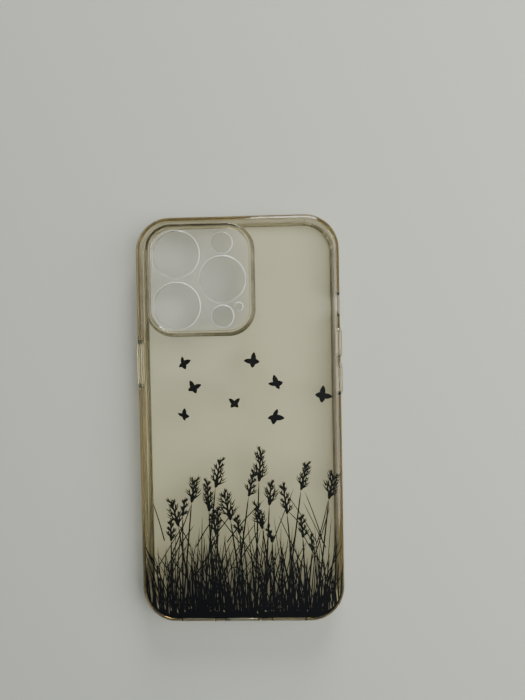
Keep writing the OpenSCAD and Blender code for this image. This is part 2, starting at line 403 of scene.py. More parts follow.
@dataclass(frozen=True)
class ClearPolyurethane:
    """Moulded thermoplastic polyurethane, clear when new and yellowed with age.

    Light loses blue on its way through it, so thin walls look almost clear and long paths amber.
    The moulded skin is smooth, with a faint orange peel and finger smudges. On the guard's foot and
    outer shoulder and on the frame's lowest edges, a grey tint is painted shade that dims what is seen
    through them. The broad flats have a lower index than the material's own, a fitted value that keeps
    the back from looking too dark.
    The beads round the lens holes are painted white as a highlight, by letting less light through. Layers of
    the mesh say where each is.
    """

    name: str
    loss_per_metre: tuple[float, float, float] = (3.0, 24.0, 135.0)
    ior: float = 1.5
    plain_ior: float = 1.1
    # Grey of the painted shade on the marked edges
    painted_shade_colour: str = "#5f5a50"
    roughness: float = 0.02
    smudge: float = 0.07
    peel_mm: float = 2.2
    peel_depth_mm: float = 0.0015

    def material(self) -> bpy.types.Material:
        """Build the material. The absorption colour c and density d give a loss of d * (1 - c) a metre."""
        material, tree = new_material(self.name)
        place = add_node(tree, "ShaderNodeTexCoord").outputs["Object"]
        smudges = add_node(tree, "ShaderNodeTexNoise", {
            "Vector": place, "Scale": 1 / (9.0 * MM), "Detail": 4.0, "Roughness": 0.6})
        gloss = add_node(tree, "ShaderNodeMapRange", {
            "Value": smudges.outputs["Fac"], "From Min": 0.45, "From Max": 0.75,
            "To Min": self.roughness, "To Max": self.roughness + self.smudge})
        peel = add_node(tree, "ShaderNodeTexNoise", {
            "Vector": place, "Scale": 1 / (self.peel_mm * MM), "Detail": 2.0, "Roughness": 0.4})
        bump = add_node(tree, "ShaderNodeBump", {
            "Strength": 1.0, "Distance": self.peel_depth_mm * MM, "Height": peel.outputs["Fac"]})
        # Painted shade: the marked edges are tinted grey, a little unevenly
        painted_shade = add_node(tree, "ShaderNodeAttribute", attribute_name=PAINTED_SHADE)
        uneven = add_node(tree, "ShaderNodeMapRange", {
            "Value": smudges.outputs["Fac"], "From Min": 0.3, "From Max": 0.6, "To Min": 0.7, "To Max": 1.0})
        amount = add_node(tree, "ShaderNodeMath", {
            0: painted_shade.outputs["Fac"], 1: uneven.outputs["Result"]}, operation="MULTIPLY")
        shade_mix = add_node(tree, "ShaderNodeMix", {
            "Factor": amount.outputs["Value"], "A": (1.0, 1.0, 1.0, 1.0),
            "B": linear(self.painted_shade_colour)}, data_type="RGBA")
        plain = add_node(tree, "ShaderNodeAttribute", attribute_name=PLAIN)
        index = add_node(tree, "ShaderNodeMapRange", {
            "Value": plain.outputs["Fac"], "To Min": self.ior, "To Max": self.plain_ior})
        # Painted highlight: the marked beads let less light through and show the white base colour
        painted_highlight = add_node(tree, "ShaderNodeAttribute", attribute_name=PAINTED_HIGHLIGHT)
        clear = add_node(tree, "ShaderNodeMapRange", {
            "Value": painted_highlight.outputs["Fac"], "To Min": 1.0, "To Max": 0.3})
        surface = add_node(tree, "ShaderNodeBsdfPrincipled", {
            "Base Color": shade_mix.outputs["Result"], "IOR": index.outputs["Result"],
            "Transmission Weight": clear.outputs["Result"],
            "Roughness": gloss.outputs["Result"], "Normal": bump.outputs["Normal"]})
        density = max(self.loss_per_metre) / 0.95
        colour = tuple(1 - loss / density for loss in self.loss_per_metre) + (1.0,)
        volume = add_node(tree, "ShaderNodeVolumeAbsorption", {"Color": colour, "Density": density})
        add_node(tree, "ShaderNodeOutputMaterial", {
            "Surface": surface.outputs["BSDF"], "Volume": volume.outputs["Volume"]})
        return material


@dataclass(frozen=True)
class PrintedInk:
    """Ultraviolet-cured black ink: opaque, a little blue, satin, with a fine grain from its droplets."""

    name: str
    dark: str = "#050709"
    light: str = "#0d0f13"
    grain_mm: float = 0.35
    grain_depth_mm: float = 0.004

    def material(self) -> bpy.types.Material:
        """Build the material."""
        material, tree = new_material(self.name)
        place = add_node(tree, "ShaderNodeTexCoord").outputs["Object"]
        grain = add_node(tree, "ShaderNodeTexNoise", {
            "Vector": place, "Scale": 1 / (self.grain_mm * MM), "Detail": 3.0})
        colour = add_node(tree, "ShaderNodeMix", {
            "Factor": grain.outputs["Fac"], "A": linear(self.dark),
            "B": linear(self.light)}, data_type="RGBA")
        gloss = add_node(tree, "ShaderNodeMapRange", {
            "Value": grain.outputs["Fac"], "To Min": 0.35, "To Max": 0.6})
        bump = add_node(tree, "ShaderNodeBump", {
            "Strength": 1.0, "Distance": self.grain_depth_mm * MM, "Height": grain.outputs["Fac"]})
        surface = add_node(tree, "ShaderNodeBsdfPrincipled", {
            "Base Color": colour.outputs["Result"], "Roughness": gloss.outputs["Result"],
            "Specular IOR Level": 0.18, "Normal": bump.outputs["Normal"]})
        add_node(tree, "ShaderNodeOutputMaterial", {"Surface": surface.outputs["BSDF"]})
        return material


@dataclass(frozen=True)
class StudioPaper:
    """Plain pale matt paper for the floor."""

    name: str
    colour: str = "#ccd0c7"

    def material(self) -> bpy.types.Material:
        """Build the material."""
        material, tree = new_material(self.name)
        surface = add_node(tree, "ShaderNodeBsdfPrincipled", {
            "Base Color": linear(self.colour), "Roughness": 0.95, "Specular IOR Level": 0.2})
        add_node(tree, "ShaderNodeOutputMaterial", {"Surface": surface.outputs["BSDF"]})
        return material


# ---------------------------------------------------------------- the moulded shell


@dataclass(frozen=True)
class ShellForm:
    """Shape that the back panel, the frame and the print share."""

    corner_r: float = 12.8
    wall_t: float = 1.65
    back_t: float = 1.2
    back_edge_r: float = 2.5
    front_edge_r: float = 0.8
    lip_over: float = 1.1
    lip_t: float = 1.0
    inner_fillet_r: float = 0.5
    seam: float = 0.01
    low: np.ndarray = field(default_factory=lambda: box_mm("bumper_frame")[0])
    high: np.ndarray = field(default_factory=lambda: box_mm("bumper_frame")[1])
    top: float = field(default_factory=lambda: float(box_mm("back_panel")[1][2]))

    @property
    def plan(self) -> RoundRect:
        """Outer outline of the case."""
        half = (self.high - self.low) / 2
        return RoundRect(float(half[0]), float(half[1]), self.corner_r)

    @property
    def seat_z(self) -> float:
        """Height of the back panel's inner face."""
        return self.top - self.back_t

    @property
    def joint_z(self) -> float:
        """Height of the joint between the back panel and the frame."""
        return self.seat_z - self.inner_fillet_r

    def edge_arc(self, z_end: float, steps: int) -> np.ndarray:
        """Rounded back edge from the flat down to a height, as rows of (inset, height)."""
        centre_z = self.top - self.back_edge_r
        end = math.degrees(math.asin((z_end - centre_z) / self.back_edge_r))
        outside = arc((0, centre_z), self.back_edge_r, 90, end, steps)
        return np.column_stack([self.back_edge_r - outside[:, 0], outside[:, 1]])

    def on_back(self, xy: np.ndarray, lift: np.ndarray) -> np.ndarray:
        """Lay plan points on the back, lifted along its normal.

        The back is flat until it is one edge radius from the outline, and then falls as a quarter
        circle: z = centre + sqrt(r^2 - (r - depth)^2).

        Args:
            xy: Points in plan.
            lift: Distance above the surface.

        Returns:
            The points in space.
        """
        depth, towards = self.plan.depth(xy)
        run = np.clip(self.back_edge_r - depth, 0, self.back_edge_r * 0.999)
        rise = np.sqrt(self.back_edge_r ** 2 - run ** 2)
        flat = xy + towards * (run / self.back_edge_r * lift)[..., None]
        z = self.top - self.back_edge_r + rise + rise / self.back_edge_r * lift
        return np.concatenate([flat, z[..., None]], axis=-1)


@dataclass(frozen=True)
class BackPanel:
    """Clear back panel: a plate with a rounded edge and the opening for the camera pocket."""

    form: ShellForm
    pocket: RoundRect
    opening_edge_r: float = 0.35

    def build(self, finish: bpy.types.Material) -> bpy.types.Object:
        """Build and dress the panel.

        Args:
            finish: Its material.

        Returns:
            The piece.
        """
        form = self.form
        top, low, seat = form.top, form.joint_z + form.seam, form.seat_z
        fillet = form.inner_fillet_r - form.seam
        reach = form.wall_t + form.inner_fillet_r
        outer = np.vstack([
            [[form.back_edge_r + 1.0, top]],
            form.edge_arc(low + 0.03, 16),
            [[0.2, low], [form.wall_t, low]],
            arc((reach, low), fillet, 180, 90, 5)[1:],
            [[reach + 0.6, seat]],
        ])
        edge = arc((self.opening_edge_r, seat + self.opening_edge_r), self.opening_edge_r, 180, 270, 5)
        opening = np.vstack([[[0.0, top]], edge])
        mesh = plate_mesh("clear_back_panel", [
            EdgeRun(form.plan, outer),
            EdgeRun(self.pocket, opening, is_hole=True),
        ])
        points = points_mm(mesh)
        depth = form.plan.depth(points[:, :2])[0]
        mark_points(mesh, PLAIN, (depth > form.back_edge_r + 0.5) | (points[:, 2] < seat + 0.01))
        return dress_moulding(mesh, "clear_back_panel", "shell", ["back_panel"], finish)


@dataclass(frozen=True)
class Window:
    """Cutout in a wall: a slot with a flare at its outer mouth."""

    slot: Stadium
    along: float
    height: float
    flare: float = 0.0
    on_end: bool = False
    outward: float = 1.0

    def cutter(self, form: ShellForm) -> bpy.types.Mesh:
        """Closed shape that is taken out of the frame: straight inside, and wider at the outer face."""
        start, end = -form.wall_t - 1.5, 1.0
        flare_at = -0.45
        section = np.array([
            [-self.flare * (end - flare_at) / -flare_at, end],
            [0.0, flare_at],
            [0.0, start],
        ]) if self.flare else np.array([[0.0, end], [0.0, start]])
        mesh = plate_mesh("cutter", [EdgeRun(self.slot, section)])
        if self.on_end:
            place_on_end(mesh, (self.along, float(form.low[1]), self.height))
        else:
            face = float(form.high[0]) if self.outward > 0 else float(form.low[0])
            place_on_wall(mesh, (face, self.along, self.height), self.outward)
        face_outwards(mesh)
        return mesh


@dataclass(frozen=True)
class BumperFrame:
    """Side walls and front lip, one section carried round the plan, with windows cut in it."""

    form: ShellForm
    windows: list[Window]

    def section(self) -> np.ndarray:
        """Closed section of the wall as rows of (inset, height), up the outside and down the inside."""
        form = self.form
        top = form.joint_z - form.seam
        wall, lip = form.wall_t, form.wall_t + form.lip_over
        foot, tip, root = form.front_edge_r, form.lip_t / 2, 0.25
        return np.vstack([
            [[0.0, 1.6], [0.0, form.top - form.back_edge_r - 0.6]],
            self.outer_arc(top - 0.03),
            [[0.2, top], [wall - 0.04, top], [wall, top - 0.04], [wall, 3.0]],
            arc((wall + root, form.lip_t + root), root, 180, 270, 4),
            arc((lip - tip, tip), tip, 90, -90, 10),
            arc((foot, foot), foot, 270, 180, 6),
        ])

    def outer_arc(self, z_end: float) -> np.ndarray:
        """Lower part of the rounded back edge, from the upright wall up to the joint."""
        form = self.form
        centre_z = form.top - form.back_edge_r
        end = math.degrees(math.asin((z_end - centre_z) / form.back_edge_r))
        return arc((form.back_edge_r, centre_z), form.back_edge_r, 180, 180 - end, 8)

    def build(self, finish: bpy.types.Material) -> bpy.types.Object:
        """Build and dress the frame.

        Args:
            finish: Its material.

        Returns:
            The piece.
        """
        section = self.section()
        rings = EdgeRun(self.form.plan, section).rings()
        rows, count = rings.shape[:2]
        mesh = bpy.data.meshes.new("frame_blank")
        faces = grid_faces(rows, count, True, True)
        mesh.from_pydata(rings.reshape(-1, 3).tolist(), [], faces.tolist())
        face_outwards(mesh)
        cut = cut_away(mesh, [window.cutter(self.form) for window in self.windows])
        points = points_mm(cut)
        depth = self.form.plan.depth(points[:, :2])[0]
        lip_edge = self.form.wall_t + self.form.lip_over - self.form.lip_t / 2
        low = points[:, 2] < self.form.lip_t * 1.01
        foot_edge = self.form.front_edge_r - 0.05
        # Painted shade: the lowest points, along the front lip's edge and round the foot of the wall, get
        # the grey tint
        mark_points(cut, PAINTED_SHADE, 0.6 * (low & (depth > lip_edge)) + 0.8 * (low & (depth < foot_edge)))
        return dress_moulding(
            cut, "clear_bumper_frame", "shell", ["bumper_frame"], finish, sharp_angle=30)


# ---------------------------------------------------------------- the camera housing


@dataclass(frozen=True)
class CameraHousing:
    """Raised guard round the camera pocket, and the plate with the lens holes inside it."""

    form: ShellForm
    corner_r: float = 9.5
    wall_t: float = 1.8
    foot_r: float = 0.4
    rim_outer_r: float = 0.8
    rim_inner_r: float = 0.5
    hole_edge_r: float = 0.2
    bead_w: float = 0.28
    bead_h: float = 0.16
    low: np.ndarray = field(default_factory=lambda: box_mm("camera_guard")[0])
    high: np.ndarray = field(default_factory=lambda: box_mm("camera_guard")[1])
    holes: tuple[tuple[float, float, float], ...] = (
        (-8.6, 9.4, 16.8), (-8.6, -9.4, 16.8), (8.2, 0.0, 16.5),
        (8.2, 13.2, 7.3), (8.1, -13.4, 7.6), (14.0, -10.0, 2.5),
    )

    @property
    def plan(self) -> RoundRect:
        """Outer outline of the guard."""
        half = (self.high - self.low) / 2
        middle = (self.high + self.low) / 2
        centre = (float(middle[0]), float(middle[1]))
        return RoundRect(float(half[0]), float(half[1]), self.corner_r, centre, 20)

    @property
    def pocket(self) -> RoundRect:
        """Inner outline of the guard, which is also the opening in the back."""
        plan, wall = self.plan, self.wall_t
        return RoundRect(plan.half_w - wall, plan.half_l - wall, self.corner_r - wall, plan.centre, 20)

    def build_guard(self, finish: bpy.types.Material) -> bpy.types.Object:
        """Build the guard: its section, with a small foot and a rounded rim, carried round the plan."""
        base, rim = float(self.low[2]) + self.form.seam, float(self.high[2])
        # Inset up to which the outer shoulder gets the painted shade
        shade_edge = 1.15
        section = np.vstack([
            arc((-self.foot_r, base + self.foot_r), self.foot_r, -90, 0, 5),
            [[0.0, base + 1.2]],
            arc((self.rim_outer_r, rim - self.rim_outer_r), self.rim_outer_r, 180, 90, 7),
            [[shade_edge, rim]],
            arc((self.wall_t - self.rim_inner_r, rim - self.rim_inner_r), self.rim_inner_r, 90, 0, 5),
            [[self.wall_t, base + 0.6], [self.wall_t, base]],
        ])
        rings = EdgeRun(self.plan, section).rings()
        rows, count = rings.shape[:2]
        faces = grid_faces(rows, count, True, True)
        points = rings.reshape(-1, 3)
        piece = new_piece(
            "clear_camera_guard", points, faces, "shell", ["camera_guard"], finish)
        # Painted shade: the foot, outer face and outer shoulder of the guard get the grey tint
        mark_points(piece.data, PAINTED_SHADE, np.repeat(np.where(section[:, 0] < shade_edge, 1.0, 0.0), count))
        keep_flats_flat(piece, 40)
        return piece

    def near_holes(self, plan: np.ndarray, reach: float) -> np.ndarray:
        """Whether each plan point lies within a reach of the edge of one of the lens holes."""
        near = np.zeros(len(plan), bool)
        middle = self.plan.centre
        for across, along, diameter in self.holes:
            away = np.hypot(plan[:, 0] - middle[0] - across, plan[:, 1] - middle[1] - along)
            near |= away < diameter / 2 + reach
        return near

    def build_plate(self, finish: bpy.types.Material) -> bpy.types.Object:
        """Build the lens plate: flat, with a low rounded bead round each of its holes."""
        low, high = box_mm("lens_plate")
        bottom, top = float(low[2]), float(high[2])
        flat = top - self.bead_h
        edge = np.array([[0.06, flat], [0.02, flat - 0.04], [0.02, bottom + 0.04], [0.06, bottom]])
        r = self.hole_edge_r
        hole = np.vstack([
            [[r + self.bead_w, flat], [r + 0.7 * self.bead_w, flat + 0.15 * self.bead_h],
             [r + 0.3 * self.bead_w, flat + 0.85 * self.bead_h]],
            arc((r, top - r), r, 90, 180, 5),
            arc((0.12, bottom + 0.12), 0.12, 180, 270, 3),
        ])
        middle = self.plan.centre
        runs = [EdgeRun(self.pocket, edge)]
        for across, along, diameter in self.holes:
            circle = Circle((middle[0] + across, middle[1] + along), diameter / 2)
            runs.append(EdgeRun(circle, hole, is_hole=True))
        mesh = plate_mesh("clear_lens_plate", runs)
        plan = points_mm(mesh)[:, :2]
        outside = ~self.near_holes(plan, r - 0.05)
        # The beads round the holes get the painted highlight
        mark_points(mesh, PAINTED_HIGHLIGHT, self.near_holes(plan, r + 0.8 * self.bead_w) & outside)
        return dress_moulding(mesh, "clear_lens_plate", "shell", ["lens_plate"], finish)


# ---------------------------------------------------------------- key covers


@dataclass(frozen=True)
class KeyCover:
    """One key cover with its thin web: a stadium with a crowned, rounded outer face."""

    name: str
    node: str
    web_node: str
    body: str
    form: ShellForm
    edge_r: float = 0.62
    crown: float = 0.16
    web_w: float = 0.3
    gap: float = 0.012

    def place(self) -> tuple[np.ndarray, np.ndarray, float]:
        """Lowest and highest corner of the cover, and which way is out."""
        low, high = box_mm(self.node)
        return low, high, 1.0 if low[0] > 0 else -1.0

    def window(self) -> Window:
        """Window in the wall that the cover and its web fill."""
        low, high, outward = self.place()
        slot = Stadium(float(high[1] - low[1]) + 2 * self.web_w, float(high[2] - low[2]) + 2 * self.web_w)
        middle = (low + high) / 2
        return Window(slot, float(middle[1]), float(middle[2]), 0.12, outward=outward)

    def build(self, finish: bpy.types.Material) -> bpy.types.Object:
        """Build the cover: rows from its middle line over the crown, round the edge and down to its base."""
        low, high, outward = self.place()
        depth, half = float(high[0] - low[0]), float(high[2] - low[2]) / 2
        rim = depth - self.crown
        inset = np.linspace(half - 0.05, self.edge_r, 7)
        crown = np.column_stack([inset, rim + self.crown * (1 - ((half - inset) / half) ** 2)])
        edge_top = crown[-1, 1]
        side = arc((self.edge_r, edge_top - self.edge_r), self.edge_r, 90, 180, 7)[1:]
        base = arc((0.15, 0.15), 0.15, 180, 270, 3)
        section = np.vstack([crown, side, base])
        slot = Stadium(float(high[1] - low[1]), 2 * half)
        mesh = plate_mesh(self.name, [EdgeRun(slot, section)])
        middle = (low + high) / 2
        inner_x = float(low[0]) if outward > 0 else float(high[0])
        place_on_wall(mesh, (inner_x, float(middle[1]), float(middle[2])), outward)
        return dress_moulding(mesh, self.name, self.body, [self.node], finish)

    def build_web(self, finish: bpy.types.Material) -> bpy.types.Object:
        """Build the web: a thin ring plate between the cover and its window."""
        low, high, outward = self.place()
        web_low, web_high = box_mm(self.web_node)
        thick = float(web_high[0] - web_low[0])
        slot = Stadium(float(high[1] - low[1]), float(high[2] - low[2]))
        window = Stadium(slot.length + 2 * self.web_w, slot.width + 2 * self.web_w)
        gap, bevel = self.gap, 0.03
        edge = np.array([[gap + bevel, thick], [gap, thick - bevel], [gap, bevel], [gap + bevel, 0.0]])
        mesh = plate_mesh(self.name + "_web", [EdgeRun(window, edge), EdgeRun(slot, edge, is_hole=True)])
        middle = (low + high) / 2
        inner_x = float(web_low[0]) if outward > 0 else float(web_high[0])
        place_on_wall(mesh, (inner_x, float(middle[1]), float(middle[2])), outward)
        return dress_moulding(mesh, self.name + "_web", "shell", [self.web_node], finish)


# ---------------------------------------------------------------- the print

GOLDEN_TURN = math.radians(137.5)
GOLDEN_SHARE = 0.618
BUTTERFLY_COUNT = 8


def share(i: int, step: int) -> float:
    """Part of a whole that i * step golden shares leave over, from 0 to 1."""
    return i * step * GOLDEN_SHARE % 1


@dataclass(frozen=True)
class InkField:
    """Printable area of the back, and the thickness of what is printed on it."""

    form: ShellForm
    left: float = -36.2
    right: float = 37.0
    bottom: float = -73.2
    corner_r: float = 11.6
    under: float = 0.012
    thickness: float = 0.035
    squeeze: float = 0.8

    @property
    def plan(self) -> RoundRect:
        """Outline that the ink stays inside."""
        middle = (self.left + self.right) / 2
        return RoundRect((self.right - self.left) / 2, -self.bottom, self.corner_r, (middle, 0.0))

    def half_width(self, y: np.ndarray) -> np.ndarray:
        """Half the printable width at each y: straight sides, and quarter circles at the ends."""
        plan = self.plan
        over = np.clip(np.abs(y) - (plan.half_l - plan.radius), 0, plan.radius * 0.999)
        return plan.half_w - plan.radius + np.sqrt(plan.radius ** 2 - over ** 2)

    def foot(self, x: np.ndarray) -> np.ndarray:
        """Lowest printable y at each x."""
        plan = self.plan
        over = np.clip(np.abs(x - plan.centre[0]) - (plan.half_w - plan.radius), 0, plan.radius * 0.999)
        return -(plan.half_l - plan.radius + np.sqrt(plan.radius ** 2 - over ** 2))

    def confine(self, xy: np.ndarray) -> np.ndarray:
        """Press points that come near the side of the field inwards, so that none passes it.

        Beyond a limit just inside the border, the rest of the way shrinks as 1 - exp(-over), so
        points keep their order and a shape keeps some width.
        """
        middle = self.plan.centre[0]
        limit = self.half_width(xy[..., 1]) - self.squeeze
        aside = xy[..., 0] - middle
        size = np.abs(aside)
        over = np.maximum(size - limit, 0)
        pressed = np.minimum(size, limit) + self.squeeze * (1 - np.exp(-over / self.squeeze))
        return np.stack([middle + np.sign(aside) * pressed, xy[..., 1]], axis=-1)

    def solid(self, strips: list[np.ndarray]) -> tuple[np.ndarray, list]:
        """Closed thin solids from strips of plan points.

        No two strips have the same thickness, so that crossing strips never share a surface. The
        first strip is the thickest, and covers the roots of the others.

        Args:
            strips: Arrays of (strips, rows, columns, 2) plan points, each a set of equal strips.

        Returns:
            All points in space, and the faces of the tops, undersides and rims.
        """
        points, faces, start, made = [], [], 0, 0
        for strip in strips:
            count, rows, columns = strip.shape[:3]
            plan = self.confine(strip)
            share = 1 - 0.6 * ((made + np.arange(count)) * 0.618034 % 1 if made else np.zeros(count))
            made += count
            lift = (self.under + self.thickness * share)[:, None, None] + np.zeros(strip.shape[:-1])
            top = self.form.on_back(plan, lift)
            below = self.form.on_back(plan, np.full(strip.shape[:-1], self.under))
            both = np.stack([top, below], axis=1)
            points.append(both.reshape(-1, 3))
            layer = rows * columns
            one = grid_faces(rows, columns, False, False)
            rim = np.concatenate([
                np.arange(columns),
                columns * np.arange(1, rows) + columns - 1,
                layer - 2 - np.arange(columns - 1),
                columns * np.arange(rows - 2, 0, -1),
            ])
            after = np.roll(rim, -1)
            wall = np.column_stack([rim, rim + layer, after + layer, after])
            each = np.concatenate([one[:, ::-1], one + layer, wall])
            shift = start + 2 * layer * np.arange(count)
            faces.append((each[None] + shift[:, None, None]).reshape(-1, 4))
            start += 2 * layer * count
        return np.concatenate(points), np.concatenate(faces).tolist()


def ribbons(root: np.ndarray, angle: np.ndarray, length: np.ndarray, bend: np.ndarray, width: np.ndarray,
            rows: int, columns: int, fullness: float, taper: float) -> np.ndarray:
    """Tapered strips that leave their roots at an angle and bend to one side.

    The middle line is root + length * s * forward + bend * s^2 * sideways for s from 0 to 1. The
    half width is width / 2 * sin(pi * s^fullness) for a leaf that is closed at both ends, or
    width / 2 * (1 - s)^taper where fullness is 0, for a blade that is widest at its root.

    Args:
        root: Where each strip starts, (n, 2).
        angle: Direction from straight up, in degrees, positive to the right.
        length: Length of each strip.
        bend: How far each tip is carried sideways.
        width: Greatest width of each strip.
        rows: Points along the strip.
        columns: Points across it.
        fullness: 0 for a blade, else the exponent that sets where a leaf is widest.
        taper: Exponent of a blade's taper.

    Returns:
        Plan points, (n, rows, columns, 2).
    """
    s = np.linspace(0, 1, rows)
    turn = np.radians(angle)
    forward = np.stack([np.sin(turn), np.cos(turn)], axis=-1)
    sideways = np.stack([np.cos(turn), -np.sin(turn)], axis=-1)
    line = root[:, None] + forward[:, None] * (length[:, None] * s)[..., None]
    line = line + sideways[:, None] * (bend[:, None] * s ** 2)[..., None]
    if fullness:
        half = width[:, None] / 2 * np.maximum(np.sin(np.pi * s ** fullness), 0.04)
    else:
        half = width[:, None] / 2 * np.maximum((1 - s) ** taper, 0.12)
    run = np.gradient(line, axis=1)
    run = run / np.linalg.norm(run, axis=-1, keepdims=True)
    normal = np.stack([run[..., 1], -run[..., 0]], axis=-1)
    across = np.linspace(-1, 1, columns)
    return line[:, :, None] + normal[:, :, None] * (half[..., None] * across)[..., None]


@dataclass(frozen=True)
class SeedHead:
    """One tall stem with a branched seed head: its root across, the head's foot and tip, and its width."""

    root_x: float
    foot: np.ndarray
    tip: np.ndarray
    width: float


@dataclass(frozen=True)
class Meadow:
    """Printed meadow: solid ground, stubble with slits of light, crossing stems and seed heads."""

    field_: InkField
    seed: int = 7
    ground_y: float = -70.3
    wisps: int = 32
    clump_count: int = 12
    stem_count: int = 15
    side_gap: float = 8.0

    def seed_heads(self) -> list[SeedHead]:
        """Evenly spaced tall stems; each third one has a lower, smaller head beside it.

        A stem rises 29 to 52 mm from the foot of the print and leans by up to 8 degrees. Its head
        leans 1.8 times as far, and is 8 to 12 mm long.
        """
        plan = self.field_.plan
        pitch = 2 * (plan.half_w - self.side_gap) / self.stem_count
        heads = []
        for i in range(self.stem_count):
            root_x = plan.centre[0] + pitch * (i + 0.5 - self.stem_count / 2)
            lean = math.radians(8) * math.sin(GOLDEN_TURN * i)
            rise = 29 + 23 * share(i, 1)
            foot = np.array([root_x + rise * math.tan(lean), self.field_.bottom + rise])
            axis = np.array([math.sin(1.8 * lean), math.cos(1.8 * lean)])
            width = 4.2 + 3.4 * share(i, 3)
            heads.append(SeedHead(root_x, foot, foot + axis * (8 + 4 * share(i, 2)), width))
            if i % 3 == 1:
                low = foot + np.array([math.copysign(3.4, -lean), -5.0])
                heads.append(SeedHead(root_x, low, low + axis * 6.5, 0.6 * width))
        return heads

    def ground(self) -> np.ndarray:
        """Solid ground: from the foot of the field up to a ragged line, one wide strip."""
        columns, rows = 161, 14
        plan = self.field_.plan
        x = plan.centre[0] + np.sin(np.linspace(-1, 1, columns) * math.pi / 2) * (plan.half_w - 0.35)
        foot = self.field_.foot(x) + 0.02
        ragged = self.ground_y + 0.8 * np.sin(x * 2.1) + 0.6 * np.sin(x * 5.3 + 1)
        top = np.maximum(ragged, foot + 1.2)
        s = np.linspace(0, 1, rows)[:, None] ** 1.6
        y = foot + (top - foot) * s
        return np.stack([np.broadcast_to(x, y.shape), y], axis=-1)[None]

    def roots(self, x: np.ndarray, y: float) -> np.ndarray:
        """Root points at these x, at this y or just above the foot of the field."""
        plan = self.field_.plan
        x = np.clip(x, plan.centre[0] - plan.half_w + 0.8, plan.centre[0] + plan.half_w - 0.8)
        return np.column_stack([x, np.maximum(y, self.field_.foot(x) + 0.5)])

    def stubble(self, draw: np.random.Generator) -> list[np.ndarray]:
        """Rows of close, nearly upright blades, which leave slits of light between them."""
        plan = self.field_.plan
        strips = []
        kinds = (
            (94, -72.2, (7, 14), (0.4, 0.7), 4, 0.25),
            (60, -72.0, (12, 21), (0.38, 0.6), 7, 0.35),
        )
        for count, y, lengths, widths, lean, taper in kinds:
            pitch = 2 * plan.half_w / count
            even = plan.centre[0] + pitch * (np.arange(count) - count / 2 + 0.5)
            x = even + draw.normal(0, 0.22 * pitch, count)
            strips.append(ribbons(
                self.roots(x, y), draw.normal(0, lean, count), draw.uniform(*lengths, count),
                draw.normal(0, 0.7, count), draw.uniform(*widths, count), 8, 3, 0, taper))
        return strips

    def stems(self, draw: np.random.Generator) -> list[np.ndarray]:
        """Clumps of long thin blades, and wisps that cross them.

        Clumps are evenly spaced. Each has 12 to 20 blades 22 to 33 mm long, and leans by up to 5
        degrees: these follow steps of the golden share, and each blade differs by a random draw.
        """
        strips = []
        plan = self.field_.plan
        pitch = 2 * (plan.half_w - 4) / self.clump_count
        for i in range(self.clump_count):
            n = 12 + round(8 * share(i, 2))
            x = draw.normal(plan.centre[0] + pitch * (i + 0.5 - self.clump_count / 2), 2.2, n)
            strips.append(ribbons(
                self.roots(x, self.ground_y), draw.normal(5 * math.sin(GOLDEN_TURN * i), 11, n),
                (22 + 11 * share(i, 1)) * draw.uniform(0.6, 1.12, n), draw.normal(0, 1.6, n),
                draw.uniform(0.34, 0.5, n), 10, 3, 0, 0.25))
        count = self.wisps
        root = np.column_stack([draw.uniform(-33, 34, count), draw.uniform(-60, -44, count)])
        side = np.where(np.arange(count) % 2 == 0, 1.0, -1.0)
        strips.append(ribbons(
            root, side * draw.uniform(10, 38, count), draw.uniform(11, 22, count),
            side * draw.uniform(-2.5, 3.0, count), draw.uniform(0.34, 0.46, count), 9, 3, 0, 0.15))
        return strips

    def seed_head(self, head: SeedHead, draw: np.random.Generator) -> list[np.ndarray]:
        """A stem, a wedge-shaped axis, and side branches that each split into pointed grains."""
        root = np.array([[head.root_x, self.ground_y]])
        foot = head.foot
        rise = foot - root[0]
        lean = math.degrees(math.atan2(rise[0], rise[1]))
        run = head.tip - foot
        size = float(np.linalg.norm(run))
        axis = math.degrees(math.atan2(run[0], run[1]))
        strips = [
            ribbons(root, np.array([lean]), np.array([np.linalg.norm(rise) + 0.4]), np.zeros(1),
                    np.array([0.62]), 12, 3, 0, 0.12),
            ribbons(foot[None], np.array([axis]), np.array([size * 0.96]), np.zeros(1),
                    np.array([0.85]), 9, 3, 0, 0.45),
            ribbons(foot[None] - run / size * 0.3, np.array([axis]), np.array([size * 0.42 + 0.5]),
                    np.zeros(1), np.array([min(1.5, 0.24 * head.width)]), 9, 5, 0.9, 0),
        ]
        count = max(5, round(size / 1.2))
        where = (np.arange(count) + 0.1) / (count + 0.1)
        side = np.where(np.arange(count) % 2 == 0, 1.0, -1.0)
        reach = head.width * (0.74 - 0.4 * where) * draw.uniform(0.8, 1.12, count)
        start = foot + run * where[:, None]
        spread = axis + side * draw.uniform(22, 40, count)
        width = draw.uniform(0.62, 0.82, count)
        strips.append(ribbons(start, spread, reach, -side * 0.16 * reach, width, 8, 3, 0, 0.7))
        way = np.radians(spread)
        ahead = np.stack([np.sin(way), np.cos(way)], axis=-1)
        for step, turn, scale in ((0.3, 26, 0.62), (0.48, -24, 0.56), (0.68, 16, 0.4)):
            strips.append(ribbons(
                start + ahead * (reach * step)[:, None], spread + side * turn,
                scale * reach * draw.uniform(0.8, 1.15, count) + 0.2, -side * 0.08 * reach,
                draw.uniform(0.5, 0.68, count), 7, 3, 0, 0.75))
        strips.append(ribbons(
            np.repeat((foot + run * 0.8)[None], 3, axis=0), axis + np.array([0.0, 22.0, -20.0]),
            np.array([0.24, 0.15, 0.15]) * size + 0.3, np.zeros(3), np.full(3, 0.6), 7, 3, 0, 0.8))
        return strips

